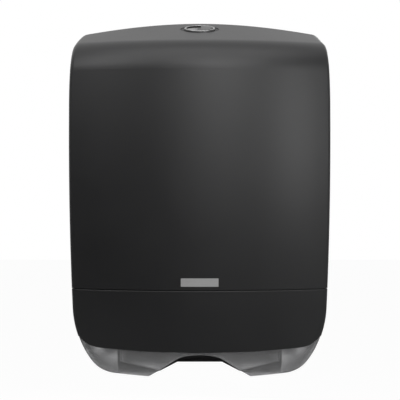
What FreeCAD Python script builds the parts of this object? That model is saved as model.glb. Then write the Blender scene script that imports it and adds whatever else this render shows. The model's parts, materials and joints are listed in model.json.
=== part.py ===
"""Wall-mounted folded-towel dispenser: a bowed two-piece cover with a smoked outlet skirt, hinged at its
foot to a rear chassis, with a push-button lock in its crown.

Frame: millimetres, +Z up, +Y into the wall and -Y to the front, with the origin in the middle of the four
wall-screw slots, on the wall plane.
"""
import FreeCAD, Part
import math
import os

import Sketcher
from FreeCAD import Placement, Rotation, Vector

doc = FreeCAD.newDocument("TowelDispenser")

# Driving sizes: name, millimetres or degrees, and what it is
SIZES = [
    ("case_width", 302, "widest part of the cover, side to side"),
    ("case_depth", 150, "wall to the foremost point of the front"),
    ("plan_radius", 326, "bow of the front as seen from above"),
    ("crown_z", 220.7, "top of the case where it would meet the wall"),
    ("crown_slope", 17, "forward fall of the crown, degrees"),
    ("brow_radius", 40, "turn from the crown into the front"),
    ("front_bow", 1600, "radius of the front from top to bottom"),
    ("front_apex_z", 40, "height of the foremost point"),
    ("jaw_radius", 45, "turn from the front under the outlet"),
    ("jaw_floor", 209, "how far below the middle the jaw's turn reaches"),
    ("shoulder_z", 110, "height where the sides draw in towards the crown"),
    ("shoulder_bow", 800, "radius of the sides towards the crown"),
    ("flank_z", 80, "height where the sides start to draw in downwards"),
    ("flank_bow", 5700, "radius of the sides as they draw in downwards"),
    ("flank_radius", 110, "turn of the sides above the heel"),
    ("heel_inset", 55, "middle of the heel's turn, in from the widest side"),
    ("heel_radius", 36, "lower corner of the outline"),
    ("sole_radius", 1000, "bow of the lower edge"),
    ("sole_z", 206.6, "how far below the middle the lower edge reaches"),
    ("wall", 2.5, "thickness of the mouldings"),
    ("edge_round", 6, "rounding between the front and the sides"),
    ("corner_round", 13, "rounding of the crown's side corners at the back"),
    ("cover_back", 22, "wall to the rear edge of the cover"),
    ("run_gap", 0.3, "running gap between pieces that move past each other"),
    ("side_gap", 0.5, "gap beside pieces that turn or slide in a fork or barrel"),
    ("seat_gap", 0.2, "gap round sunk screw heads and over the spring's seat"),
    ("seam_z", 101.8, "how far below the middle the two cover mouldings meet"),
    ("seam_gap", 1, "open groove between the two cover mouldings"),
    ("lap", 8, "overlap of a moulding behind its neighbour"),
    ("lip_z", 173.5, "how far below the middle the cover's lower edge reaches"),
    ("lip_bow", 1700, "bow of the cover's lower edge"),
    ("lip_corner", 33, "turn of the cover's lower edge up to its sides"),
    ("lip_inset", 37, "middle of that turn, in from the widest side"),
    ("skirt_inset", 0.6, "step from the cover in to the skirt"),
    ("skirt_wall", 3.4, "thickness of the skirt"),
    ("notch_foot", 62.6, "half of the finger notch at the lower edge"),
    ("notch_neck", 29.5, "half of the finger notch below its arch"),
    ("notch_depth", 30.1, "rise of the notch above the lower edge"),
    ("notch_arch", 7, "height of the notch's arch"),
    ("notch_turn", 35, "turn from the notch's sides into its arch"),
    ("mouth_half", 95, "half of the mouth under the skirt"),
    ("mouth_lip", 56, "foremost point of the front back to the mouth"),
    ("mouth_corner", 6, "front corners of the mouth"),
    ("plate_width", 42.6, "nameplate, side to side"),
    ("plate_height", 9.5, "nameplate, up and down"),
    ("plate_rise", 4, "seam up to the nameplate"),
    ("plate_proud", 0.3, "nameplate out of the cover"),
    ("plate_bed", 0.6, "nameplate's recess in the cover"),
    ("back_plate", 3, "thickness of the chassis at the wall"),
    ("rim_depth", 20, "wall to the front of the chassis rim"),
    ("rim_inset", 3, "cover's side in to the chassis rim"),
    ("rim_drop", 6, "cover's crown down to the chassis rim"),
    ("chassis_foot", 176, "how far below the middle the chassis reaches"),
    ("bay_half", 128.5, "half of the inner width of the towel bay"),
    ("bay_depth", 75, "wall to the front edge of the bay walls"),
    ("bay_top", 168, "height of the bay walls"),
    ("bay_foot", 150, "how far below the middle the bay walls reach"),
    ("bay_wall", 2, "thickness of the bay walls"),
    ("rib_reach", 9, "wall to the front of the back plate's ribs"),
    ("rib_pitch", 40, "spacing of the back plate's ribs"),
    ("tray_z", 160, "how far below the middle the tray's underside lies"),
    ("tray_wall", 2.5, "thickness of the tray"),
    ("tray_bow", 370, "bow of the tray's front edge"),
    ("tray_rise", 33, "height of the tray's sides at the back"),
    ("slot_end", 19, "radius of the dispensing slot's ends"),
    ("throat_y", 45, "wall to the throat behind the slot"),
    ("throat_z", 200, "how far below the middle the throat's ends reach"),
    ("outlet_z", 194.4, "how far below the middle the lip over the outlet reaches"),
    ("outlet_half", 27, "half of the lip over the outlet"),
    ("horn_x", 48, "middle to the points of the throat beside the outlet"),
    ("horn_z", 205.3, "how far below the middle those points reach"),
    ("bead", 1.6, "radius of the lip over the outlet"),
    ("wing_gap", 1.2, "wings of the tray clear of the skirt"),
    ("wing_rib", 0.4, "rib along the wings' lower edge clear of the skirt"),
    ("wing_top", 184, "how far below the middle the wings start"),
    ("wing_foot", 198.8, "how far below the middle the wings reach"),
    ("wing_tip", 47, "middle to the wings' points"),
    ("wing_taper", 11.5, "how much lower the wings start at their points"),
    ("rib_height", 1.5, "height of the rib along the wings"),
    ("guide_reach", 22.5, "stack guide, in from the bay wall"),
    ("guide_foot", 105, "how far below the middle the stack guides reach"),
    ("guide_top", 148, "height of the stack guides"),
    ("hinge_y", 22, "wall to the hinge axis"),
    ("hinge_z", 184, "how far below the middle the hinge axis lies"),
    ("lug_x", 101, "middle to the inner face of a hinge lug"),
    ("lug_width", 8, "hinge lug along the pin"),
    ("lug_radius", 5.5, "hinge lug about the pin"),
    ("ear_width", 6, "hinge arm's ear along the pin"),
    ("ear_radius", 6.5, "hinge arm's ear about the pin"),
    ("pin_radius", 2.5, "hinge pin"),
    ("pin_play", 0.05, "running play of a pin in its bore"),
    ("arm_front", 52, "wall to the front of the hinge arms"),
    ("arm_back", 32, "wall to the back of the hinge arms"),
    ("arm_top", 120, "how far below the middle the hinge arms start"),
    ("arm_wall", 4.5, "thickness of the hinge arms beside the bay"),
    ("arm_gap", 1, "hinge arms clear of the bay walls"),
    ("arm_screw_z", 8, "top of a hinge arm down to its first screw"),
    ("arm_screw_pitch", 13, "spacing of a hinge arm's screws"),
    ("boss_wall", 2.9, "wall of the bosses round those screws"),
    ("boss_depth", 5, "depth of the bosses' bores"),
    ("screw_radius", 1.6, "screws of the hinge arms"),
    ("screw_head", 3.6, "heads of the screws"),
    ("head_height", 2, "height of the screw heads"),
    ("small_screw", 1.25, "screws of the lock and of the strike plate"),
    ("lock_y", 57, "wall to the middle of the lock"),
    ("lock_radius", 18.2, "push button"),
    ("lock_proud", 1.2, "push button out of the crown"),
    ("lock_ring", 2.4, "rim ring of the push button"),
    ("bezel_width", 4.8, "push button out to the bore in the crown"),
    ("flange_width", 6, "flange of the lock's barrel beyond the bore"),
    ("lock_travel", 4, "stroke of the push button"),
    ("lock_wall", 2.5, "wall of the lock's barrel"),
    ("lock_depth", 22, "crown down to the foot of the lock's barrel"),
    ("lock_pad", 5, "thickness of the crown under the lock"),
    ("bezel_drop", 0.8, "crown down to the bezel"),
    ("core_x", 8.5, "middle of the lock out to its core"),
    ("core_radius", 6, "lock core"),
    ("pivot_y", 9, "middle of the lock back to the latch pin"),
    ("pivot_drop", 31, "crown down to the latch pin"),
    ("latch_pin", 2, "radius of the latch pin"),
    ("hook_y", 24, "middle of the lock back to the hook's back"),
    ("hook_drop", 40, "crown down to the hook's nose"),
    ("hook_width", 19, "latch lever, side to side"),
    ("hook_clear", 0.7, "hook's nose clear of the strike's lip"),
    ("shelf_z", 160, "height of the chassis shelf under the strike plate"),
    ("strike_wall", 1.5, "sheet of the strike plate"),
    ("strike_side", 10, "strike plate beyond the latch lever at each side"),
    ("slot_x", 180, "spacing of the wall-screw slots, side to side"),
    ("slot_z", 250, "spacing of the wall-screw slots, up and down"),
    ("slot_width", 6, "wall-screw slot, up and down"),
    ("slot_length", 14, "wall-screw slot, side to side"),
]

sheet = doc.addObject("Spreadsheet::Sheet", "Sizes")
for row, (alias, value, meaning) in enumerate(SIZES, start=1):
    sheet.set(f"A{row}", meaning)
    sheet.set(f"B{row}", str(value))
    sheet.setAlias(f"B{row}", alias)
doc.recompute()


class Dim:
    """A size known both as a number and as the formula that the document keeps."""

    def __init__(self, number, formula):
        self.number = float(number)
        self.formula = formula

    def __add__(self, other):
        other = dim(other)
        return Dim(self.number + other.number, f"({self.formula} + {other.formula})")

    def __sub__(self, other):
        other = dim(other)
        return Dim(self.number - other.number, f"({self.formula} - {other.formula})")

    def __mul__(self, other):
        other = dim(other)
        return Dim(self.number * other.number, f"{self.formula} * {other.formula}")

    def __truediv__(self, other):
        other = dim(other)
        return Dim(self.number / other.number, f"({self.formula} / ({other.formula}))")

    def __radd__(self, other):
        return dim(other) + self

    def __rsub__(self, other):
        return dim(other) - self

    def __rmul__(self, other):
        return dim(other) * self

    def __neg__(self):
        return dim(0) - self


def dim(value):
    """The value as a Dim."""
    return value if isinstance(value, Dim) else Dim(value, f"({float(value)!r})")


def root(value):
    return Dim(math.sqrt(value.number), f"sqrt({value.formula})")


def sine(angle):
    return Dim(math.sin(math.radians(angle.number)), f"sin({angle.formula})")


def cosine(angle):
    return Dim(math.cos(math.radians(angle.number)), f"cos({angle.formula})")


class Sizes:
    """Gives each cell of the sheet as a Dim, by its alias."""

    def __getattr__(self, alias):
        return Dim(sheet.get(alias), f"Sizes.{alias}")


S = Sizes()
FRONT = Rotation(Vector(1, 0, 0), 90)
SIDE = Rotation(Vector(0, 0, 1), 90) * FRONT
PLAN = Rotation()
PLACES = {}


def add(kind, name, **sizes):
    """A new document object with its sizes set and bound."""
    obj = doc.addObject(kind, name)
    for key, value in sizes.items():
        value = dim(value)
        setattr(obj, key, value.number)
        obj.setExpression(key, value.formula)
    return obj


def place(obj, x=0, y=0, z=0, turn=PLAN):
    """Puts an object at a bound place with a fixed turn."""
    x, y, z = dim(x), dim(y), dim(z)
    PLACES[obj.Name] = (x, y, z, turn)
    obj.Placement = Placement(Vector(x.number, y.number, z.number), turn)
    for axis, value in (("x", x), ("y", y), ("z", z)):
        obj.setExpression(f"Placement.Base.{axis}", value.formula)
    return obj


def block(x0, x1, y0, y1, z0, z1):
    """Box between two corners."""
    obj = add("Part::Box", "Block", Length=dim(x1) - x0, Width=dim(y1) - y0, Height=dim(z1) - z0)
    return place(obj, x0, y0, z0)


def rod(radius, x0, y, z, x1):
    """Cylinder along X from x0 to x1."""
    obj = add("Part::Cylinder", "Rod", Radius=radius, Height=dim(x1) - x0)
    return place(obj, x0, y, z, Rotation(Vector(0, 1, 0), 90))


def post(radius, x, y, z0, z1):
    """Cylinder along Z from z0 to z1."""
    obj = add("Part::Cylinder", "Post", Radius=radius, Height=dim(z1) - z0)
    return place(obj, x, y, z0)


def stud(radius, x, z, y0, y1):
    """Cylinder along Y from y1 forward to y0."""
    obj = add("Part::Cylinder", "Stud", Radius=radius, Height=dim(y1) - y0)
    return place(obj, x, y1, z, FRONT)


def fuse(*parts):
    if len(parts) == 1:
        return parts[0]
    obj = doc.addObject("Part::MultiFuse", "Union")
    obj.Shapes = list(parts)
    obj.Refine = False
    return obj


def cut(base, *tools):
    obj = doc.addObject("Part::Cut", "Cut")
    obj.Base = base
    obj.Tool = fuse(*tools)
    obj.Refine = False
    return obj


def common(one, other):
    obj = doc.addObject("Part::Common", "Common")
    obj.Base = one
    obj.Tool = other
    obj.Refine = False
    return obj


def outline(corners):
    """Closed sketch through its corners, each given as two coordinates.

    A corner reached by an arc adds the arc's radius and the side of its centre: 1 left, -1 right. The first
    corner's arc closes the sketch.
    """
    sketch = doc.addObject("Sketcher::SketchObject", "Outline")
    places = [(dim(corner[0]), dim(corner[1])) for corner in corners]
    count = len(corners)
    ends = []
    for i, arrival in enumerate(corners[1:] + corners[:1]):
        p, q = (Vector(a.number, b.number, 0) for a, b in (places[i], places[(i + 1) % count]))
        if len(arrival) == 2:
            index = sketch.addGeometry(Part.LineSegment(p, q), False)
            ends.append((index, 1, 2))
            continue
        radius, side = dim(arrival[2]), arrival[3]
        half = (q - p) * 0.5
        rise = math.sqrt(max(radius.number ** 2 - half.Length ** 2, 0))
        centre = p + half + Vector(-half.y, half.x, 0).normalize() * (rise * side)
        first, last = (p, q) if side > 0 else (q, p)
        angles = [math.atan2(point.y - centre.y, point.x - centre.x) for point in (first, last)]
        arc = Part.ArcOfCircle(Part.Circle(centre, Vector(0, 0, 1), radius.number), *angles)
        index = sketch.addGeometry(arc, False)
        ends.append((index, 1, 2) if side > 0 else (index, 2, 1))
        held = sketch.addConstraint(Sketcher.Constraint("Radius", index, radius.number))
        sketch.setExpression(f"Constraints[{held}]", radius.formula)
    for i, (index, first, last) in enumerate(ends):
        following = ends[(i + 1) % count]
        sketch.addConstraint(Sketcher.Constraint("Coincident", index, last, following[0], following[1]))
        for kind, value in zip(("DistanceX", "DistanceY"), places[i]):
            held = sketch.addConstraint(Sketcher.Constraint(kind, -1, 1, index, first, value.number))
            sketch.setExpression(f"Constraints[{held}]", value.formula)
    return sketch


def pull(sketch, length):
    """Solid drawn out of a sketch along its normal."""
    obj = add("Part::Extrusion", "Pull", LengthFwd=length)
    obj.Base = sketch
    obj.DirMode = "Normal"
    obj.Solid = True
    return obj


def front_prism(y_back, y_front, corners):
    """Prism of a shape seen from the front (x, z), from y_back forward to y_front."""
    return pull(place(outline(corners), 0, y_back, 0, FRONT), dim(y_back) - y_front)


def side_prism(x0, x1, corners):
    """Prism of a shape seen from the right (y, z), from x0 to x1."""
    return pull(place(outline(corners), x0, 0, 0, SIDE), dim(x1) - x0)


def plan_prism(z0, z1, corners):
    """Prism of a shape seen from above (x, y), from z0 to z1."""
    return pull(place(outline(corners), 0, 0, z0, PLAN), dim(z1) - z0)


def flip(part):
    """Mirror image of a part across the centre plane."""
    obj = doc.addObject("Part::Mirroring", "Mirrored")
    obj.Source = part
    obj.Normal = Vector(1, 0, 0)
    return obj


def both(*parts):
    """The parts and their mirror images."""
    return [*parts, *(flip(part) for part in parts)]


def toward(centre, other, distance, span):
    """Point at a distance from a centre on the line to another point that lies span away."""
    return tuple(a + (b - a) * distance / span for a, b in zip(centre, other))


def meet(one, r_one, other, r_other):
    """Crossing of two circles, left of the line between their centres."""
    dx, dy = dim(other[0]) - one[0], dim(other[1]) - one[1]
    span = root(dx * dx + dy * dy)
    along = (r_one * r_one - r_other * r_other + span * span) / (span * 2)
    off = root(r_one * r_one - along * along)
    return (one[0] + (dx * along - dy * off) / span, one[1] + (dy * along + dx * off) / span)


# Middles of the arcs of the bowed side profile, as (y, z)
CROWN_SIN = sine(S.crown_slope)
CROWN_COS = cosine(S.crown_slope)
AXIS_Y = S.plan_radius - S.case_depth
FRONT_MID = (S.front_bow - S.case_depth, S.front_apex_z)
JAW_Z = S.jaw_radius - S.jaw_floor
JAW_SPAN = S.front_bow - S.jaw_radius
JAW_DROP = S.front_apex_z - JAW_Z
JAW_MID = (FRONT_MID[0] - root(JAW_SPAN * JAW_SPAN - JAW_DROP * JAW_DROP), JAW_Z)
BROW_SPAN = S.front_bow - S.brow_radius
BROW_FOOT = (CROWN_SIN * S.brow_radius - FRONT_MID[0], S.crown_z - CROWN_COS * S.brow_radius - FRONT_MID[1])
BROW_REACH = BROW_FOOT[0] * CROWN_COS + BROW_FOOT[1] * CROWN_SIN
BROW_OFF = BROW_FOOT[0] * CROWN_SIN - BROW_FOOT[1] * CROWN_COS
BROW_RUN = BROW_REACH + root(BROW_SPAN * BROW_SPAN - BROW_OFF * BROW_OFF)
BROW_MID = (CROWN_SIN * S.brow_radius - CROWN_COS * BROW_RUN,
            S.crown_z - CROWN_COS * S.brow_radius - CROWN_SIN * BROW_RUN)

# Middles of the arcs of the front outline, as (x, z)
HALF = S.case_width / 2
SHOULDER_MID = (HALF - S.shoulder_bow, S.shoulder_z)
FLANK_MID = (HALF - S.flank_bow, S.flank_z)
SOLE_MID = (dim(0), S.sole_radius - S.sole_z)
HEEL_SPAN = S.sole_radius - S.heel_radius
HEEL_X = HALF - S.heel_inset
HEEL_MID = (HEEL_X, SOLE_MID[1] - root(HEEL_SPAN * HEEL_SPAN - HEEL_X * HEEL_X))
TURN_MID = meet(FLANK_MID, S.flank_bow - S.flank_radius, HEEL_MID, S.flank_radius - S.heel_radius)
LID = S.crown_z + 30


def bowed(inset):
    """Solid of revolution with the side profile, drawn in by an inset."""
    jaw_top = toward(FRONT_MID, JAW_MID, S.front_bow - inset, JAW_SPAN)
    brow_foot = toward(FRONT_MID, BROW_MID, S.front_bow - inset, BROW_SPAN)
    brow_top = (BROW_MID[0] - CROWN_SIN * (S.brow_radius - inset),
                BROW_MID[1] + CROWN_COS * (S.brow_radius - inset))
    peak_z = brow_top[1] + (AXIS_Y - brow_top[0]) * CROWN_SIN / CROWN_COS
    sketch = outline([
        (0, inset - S.jaw_floor),
        (AXIS_Y - JAW_MID[0], inset - S.jaw_floor),
        (AXIS_Y - jaw_top[0], jaw_top[1], S.jaw_radius - inset, 1),
        (AXIS_Y - brow_foot[0], brow_foot[1], S.front_bow - inset, 1),
        (AXIS_Y - brow_top[0], brow_top[1], S.brow_radius - inset, 1),
        (0, peak_z),
    ])
    sketch.Placement = Placement(Vector(), FRONT)
    turned = doc.addObject("Part::Revolution", "Bowed")
    turned.Source = sketch
    turned.Axis = Vector(0, 0, 1)
    turned.Base = Vector()
    turned.Angle = 360
    turned.Solid = True
    return place(turned, 0, AXIS_Y, 0)


def girth(inset, y_back, y_front):
    """Prism of the front outline, drawn in by an inset and open above."""
    rise = LID - S.shoulder_z
    bow = S.shoulder_bow - inset
    lid = SHOULDER_MID[0] + root(bow * bow - rise * rise)
    side = HALF - inset
    turn = toward(FLANK_MID, TURN_MID, S.flank_bow - inset, S.flank_bow - S.flank_radius)
    heel = toward(TURN_MID, HEEL_MID, S.flank_radius - inset, S.flank_radius - S.heel_radius)
    sole = toward(SOLE_MID, HEEL_MID, S.sole_radius - inset, HEEL_SPAN)
    return front_prism(y_back, y_front, [
        (lid, LID, bow, 1),
        (-lid, LID),
        (-side, S.shoulder_z, bow, 1),
        (-side, S.flank_z),
        (-turn[0], turn[1], S.flank_bow - inset, 1),
        (-heel[0], heel[1], S.flank_radius - inset, 1),
        (-sole[0], sole[1], S.heel_radius - inset, 1),
        (sole[0], sole[1], S.sole_radius - inset, 1),
        (heel[0], heel[1], S.heel_radius - inset, 1),
        (turn[0], turn[1], S.flank_radius - inset, 1),
        (side, S.flank_z, S.flank_bow - inset, 1),
        (side, S.shoulder_z),
    ])


def crease(shape, edge):
    """Angle between the outward normals of the two faces at the middle of an edge, in degrees."""
    middle = edge.valueAt((edge.FirstParameter + edge.LastParameter) / 2)
    faces = shape.ancestorsOfType(edge, Part.Face)
    normals = [face.normalAt(*face.Surface.parameter(middle)) for face in faces]
    return math.degrees(normals[0].getAngle(normals[1])) if len(normals) == 2 else 0


def form(inset, y_back, y_front, drop=None, rounded=False):
    """Bowed form drawn in by an inset, its crown by a drop, with rounded edges and upper corners if asked."""
    solid = common(bowed(dim(inset if drop is None else drop)), girth(dim(inset), y_back, y_front))
    if not rounded:
        return solid
    doc.recompute()
    edge = max((S.edge_round - inset).number, 1)
    corner = (S.corner_round - inset).number
    back = dim(y_back).number
    brow_z = BROW_MID[1].number
    picked = []
    for index, rim in enumerate(solid.Shape.Edges, start=1):
        middle = rim.valueAt((rim.FirstParameter + rim.LastParameter) / 2)
        flat = abs(middle.x) < HEEL_X.number
        if abs(middle.y - back) < 0.5 or crease(solid.Shape, rim) < 8 or (flat and middle.z > brow_z):
            continue
        radii = (edge, edge)
        if middle.z > brow_z + 20:
            radii = (corner, edge * 1.6) if middle.y > -S.lock_y.number else (edge * 1.6, edge)
        rearward = rim.valueAt(rim.FirstParameter).y > middle.y
        picked.append((index, *(radii if rearward else radii[::-1])))
    soft = doc.addObject("Part::Fillet", "Soft")
    soft.Base = solid
    soft.Edges = picked
    return soft


# Lock frame in the crown: its +Z leads out of the crown and its +Y to the wall
LOCK_TILT = Rotation(Vector(1, 0, 0), S.crown_slope.number)
LOCK_Z = S.crown_z - S.lock_y * CROWN_SIN / CROWN_COS


def to_lock(part):
    """Moves a part drawn at the origin to the lock's place in the crown."""
    x, y, z, turn = PLACES.get(part.Name, (dim(0), dim(0), dim(0), PLAN))
    return place(part, x, y * CROWN_COS - z * CROWN_SIN - S.lock_y, LOCK_Z + y * CROWN_SIN + z * CROWN_COS,
                 LOCK_TILT * turn)


def around(radius, count, first, make):
    """Copies of a part about the local Z axis, evenly spaced from a first angle in degrees."""
    angles = [math.radians(first + 360 * i / count) for i in range(count)]
    return [make(radius * math.cos(angle), radius * math.sin(angle)) for angle in angles]


def coil(radius, wire, foot, top, turns, y=0):
    """Compression spring about the local Z axis, between two heights."""
    height = dim(top) - foot - wire
    helix = add("Part::Helix", "Helix", Pitch=height / turns, Height=height, Radius=radius)
    helix.SegmentLength = 0.25
    place(helix, 0, y, dim(foot) + dim(wire) / 2)
    ring = add("Part::Circle", "Wire", Radius=dim(wire) / 2)
    place(ring, radius, y, dim(foot) + dim(wire) / 2, FRONT)
    sweep = doc.addObject("Part::Sweep", "Coil")
    sweep.Sections = [ring]
    sweep.Spine = (helix, [])
    sweep.Solid = True
    sweep.Frenet = True
    return sweep


NODES = []


def node(label, part):
    """Names a finished sub-part."""
    part.Label = label
    NODES.append(part)
    return part


def pair(label, part):
    """Names a finished sub-part on the right and its mirror image on the left."""
    node("right_" + label, part)
    node("left_" + label, flip(part))


BACK = -S.cover_back
WALL = S.wall
FRONT_END = -S.case_depth - 10
EDGE = HALF + 20
SEAM_TOP = -S.seam_z
SEAM_FOOT = SEAM_TOP - S.seam_gap
BEHIND = 5


def span(z0, z1, y_front=FRONT_END, y_back=20):
    """Slab wider than the case between two heights."""
    return block(-EDGE, EDGE, y_front, y_back, z0, z1)


def parting(drop, top):
    """Region of the cover as seen from the front, from a height down to its lower edge and a drop below it."""
    low = -S.lip_z - drop
    mid_z = low + S.lip_bow
    reach = S.lip_bow - S.lip_corner
    corner_x = HALF - S.lip_inset
    corner_z = mid_z - root(reach * reach - corner_x * corner_x)
    foot_x, foot_z = toward((dim(0), mid_z), (corner_x, corner_z), S.lip_bow, reach)
    turn = dim(50)
    side_x = corner_x + S.lip_corner * sine(turn)
    side_z = corner_z - S.lip_corner * cosine(turn)
    return front_prism(20, FRONT_END, [
        (EDGE, top),
        (-EDGE, top),
        (-EDGE, side_z + 8),
        (-side_x, side_z),
        (-foot_x, foot_z, S.lip_corner, 1),
        (foot_x, foot_z, S.lip_bow, 1),
        (side_x, side_z, S.lip_corner, 1),
        (EDGE, side_z + 8),
    ])


# Cover skin: bowed, thin, open at the back
outer = form(0, BACK, FRONT_END, rounded=True)
inner = form(WALL, BEHIND, FRONT_END, rounded=True)
lapped = cut(inner, form(WALL * 2, BEHIND, FRONT_END))
skin = cut(outer, inner)
bed = form(S.plate_bed, BACK, FRONT_END)

# Main cover: with a pad for the lock under its crown and a recess for the nameplate
BORE = S.lock_radius + S.bezel_width
FLANGE = BORE + S.flange_width
SCREW_RING = (FLANGE.number - 2.8, 3, 90)
PLATE_FOOT = SEAM_TOP + S.plate_rise
plate_span = (-S.plate_width / 2, S.plate_width / 2, FRONT_END, -S.case_depth + 30, PLATE_FOOT,
              PLATE_FOOT + S.plate_height)
pad = common(to_lock(post(FLANGE + 1, 0, 0, -S.lock_pad, 0)), outer)
SCREW_TIP = -WALL
pad_bores = around(*SCREW_RING, lambda x, y: post(S.small_screw, x, y, -S.lock_pad - 1, SCREW_TIP))
lock_bore = to_lock(fuse(post(BORE, 0, 0, -S.lock_pad - 3, 6), *pad_bores))
upper = common(skin, span(SEAM_TOP, LID))
node("main_cover", cut(fuse(upper, pad), lock_bore, cut(block(*plate_span), bed)))

# Lower cover: the same skin below the seam, with a lap behind the seam and bosses for the hinge arms
BAY_OUT = S.bay_half + S.bay_wall
ARM_IN = BAY_OUT + S.arm_gap
ARM_OUT = ARM_IN + S.arm_wall
ARM_Y = -(S.arm_front + S.arm_back) / 2
ARM_SCREWS = [(ARM_Y, -S.arm_top - S.arm_screw_z - S.arm_screw_pitch * i) for i in range(2)]
BOSS_END = ARM_OUT + S.boss_depth
BOSS = S.screw_radius + S.boss_wall
seam_lap = common(lapped, span(SEAM_FOOT - S.lap, SEAM_TOP + S.lap, y_back=BACK))
arm_bosses = [common(rod(BOSS, ARM_OUT, y, z, EDGE), outer) for y, z in ARM_SCREWS]
boss_bores = [rod(S.screw_radius, ARM_OUT - 5, y, z, BOSS_END) for y, z in ARM_SCREWS]
node("lower_cover", cut(fuse(common(skin, parting(0, SEAM_FOOT)), seam_lap, *both(*arm_bosses)),
                        *both(*boss_bores)))

# Nameplate: thin curved plate in its recess above the seam
node("nameplate", common(cut(form(-S.plate_proud, BACK, FRONT_END), bed), block(*plate_span)))

# Smoked skirt: continues the cover round the outlet, tucked up behind its lower edge
LAP_TOP = -S.lip_z + S.lap + 15
SKIRT_IN = S.skirt_inset + S.skirt_wall
MOUTH_FRONT = S.mouth_lip - S.case_depth
SOLE = -S.sole_z - 10
skirt_skin = cut(cut(form(S.skirt_inset, BACK, FRONT_END, rounded=True), form(SKIRT_IN, BEHIND, FRONT_END)),
                 parting(S.run_gap, LID))
skirt_lap = common(lapped, span(-S.lip_z - S.lap - 8, LAP_TOP, y_back=BACK))
NOTCH_NECK_Z = -S.sole_z + S.notch_depth - S.notch_arch
NOTCH_SHOULDER_Z = NOTCH_NECK_Z + S.notch_arch * 0.87
NOTCH_TOP = S.notch_neck * 0.44
notch_shape = [
    (S.notch_foot, SOLE),
    (S.notch_foot, -S.sole_z),
    (S.notch_neck, NOTCH_NECK_Z),
    (NOTCH_TOP, NOTCH_SHOULDER_Z, S.notch_turn, 1),
    (-NOTCH_TOP, NOTCH_SHOULDER_Z, S.notch_neck * 3, 1),
    (-S.notch_neck, NOTCH_NECK_Z, S.notch_turn, 1),
    (-S.notch_foot, -S.sole_z),
    (-S.notch_foot, SOLE),
]
notch = front_prism(MOUTH_FRONT + 30, FRONT_END, notch_shape)
mouth = plan_prism(SOLE, -S.hinge_z + 3, [
    (S.mouth_half, BEHIND),
    (-S.mouth_half, BEHIND),
    (-S.mouth_half, MOUTH_FRONT + S.mouth_corner),
    (S.mouth_corner - S.mouth_half, MOUTH_FRONT, S.mouth_corner, 1),
    (S.mouth_half - S.mouth_corner, MOUTH_FRONT),
    (S.mouth_half, MOUTH_FRONT + S.mouth_corner, S.mouth_corner, 1),
])
node("smoke_skirt", cut(fuse(skirt_skin, skirt_lap), notch, mouth))

# Hinge arms: carry the cover and the skirt on the pins
HINGE_Y = -S.hinge_y
HINGE_Z = -S.hinge_z
TRAY_Z = -S.tray_z
LUG_OUT = S.lug_x + S.lug_width
EAR_IN = LUG_OUT + S.side_gap
EAR_OUT = EAR_IN + S.ear_width
BAR_TOP = TRAY_Z - 1.5
BAR_FOOT = BAR_TOP - 7.5
BAY_FOOT = -S.bay_foot
arm_bar = front_prism(-S.arm_back, -S.arm_front, [
    (EAR_OUT, HINGE_Z + S.lug_radius),
    (EAR_OUT, BAR_FOOT),
    (ARM_IN - 4, BAR_FOOT),
    (ARM_IN - 0.7, BAR_FOOT + 3),
    (ARM_OUT - 3.4, BAY_FOOT - 8),
    (ARM_OUT, BAY_FOOT + 4),
    (ARM_OUT, -S.arm_top),
    (ARM_IN, -S.arm_top),
    (ARM_IN, BAY_FOOT),
    (ARM_IN - 2.7, BAR_TOP),
    (EAR_IN, BAR_TOP),
    (EAR_IN, HINGE_Z + S.lug_radius),
])
ear = fuse(rod(S.ear_radius, EAR_IN, HINGE_Y, HINGE_Z, EAR_OUT), side_prism(EAR_IN, EAR_OUT, [
    (HINGE_Y + 2, HINGE_Z + S.ear_radius - 0.5),
    (-S.arm_back, BAR_TOP),
    (-S.arm_front, BAR_TOP),
    (-S.arm_front, BAR_TOP - 6.5),
    (HINGE_Y - 2, HINGE_Z - S.ear_radius + 0.5),
]))
ear_bore = rod(S.pin_radius + S.pin_play, EAR_IN - 5, HINGE_Y, HINGE_Z, EAR_OUT + 5)
HEAD_X = ARM_IN + S.seat_gap
HEAD_END = HEAD_X + S.head_height
arm_holes = [fuse(rod(S.screw_radius, ARM_IN - 5, y, z, ARM_OUT + 5),
                  rod(S.screw_head + S.seat_gap, ARM_IN - 5, y, z, HEAD_END)) for y, z in ARM_SCREWS]
pair("hinge_arm", cut(fuse(arm_bar, ear), ear_bore, *arm_holes))
node("arm_screws", fuse(*both(*[fuse(rod(S.screw_head, HEAD_X, y, z, HEAD_END),
                                     rod(S.screw_radius, HEAD_END - 1, y, z, BOSS_END - S.side_gap))
                                for y, z in ARM_SCREWS])))

# Rear chassis: back plate with a rim, bay walls, ribs, latch shelf and hinge lugs
PLATE_Y = -S.back_plate
ROOT_Y = PLATE_Y / 2
RIM_WALL = WALL
rim = cut(form(S.rim_inset, 0, -S.rim_depth, drop=S.rim_drop, rounded=True),
          form(S.rim_inset + RIM_WALL, PLATE_Y, -S.rim_depth - 5, drop=S.rim_drop + RIM_WALL))
bay_side = side_prism(S.bay_half, BAY_OUT, [
    (ROOT_Y, BAY_FOOT),
    (ROOT_Y, S.bay_top),
    (-S.bay_depth + 35, S.bay_top),
    (-S.bay_depth, S.bay_top - 18),
    (-S.bay_depth, BAY_FOOT + 40),
    (-S.arm_front, BAY_FOOT),
])
SHELF_FRONT = -S.lock_y + 20
ribs = [block(x - 1.5, x + 1.5, -S.rib_reach, ROOT_Y, BAY_FOOT, S.shelf_z)
        for x in (S.rib_pitch * step for step in (-1.5, -0.5, 0.5, 1.5))]
shelf = side_prism(-S.hook_width / 2 - 14, S.hook_width / 2 + 14, [
    (ROOT_Y, S.shelf_z - 22),
    (ROOT_Y, S.shelf_z),
    (SHELF_FRONT, S.shelf_z),
    (SHELF_FRONT, S.shelf_z - 6),
])
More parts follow.
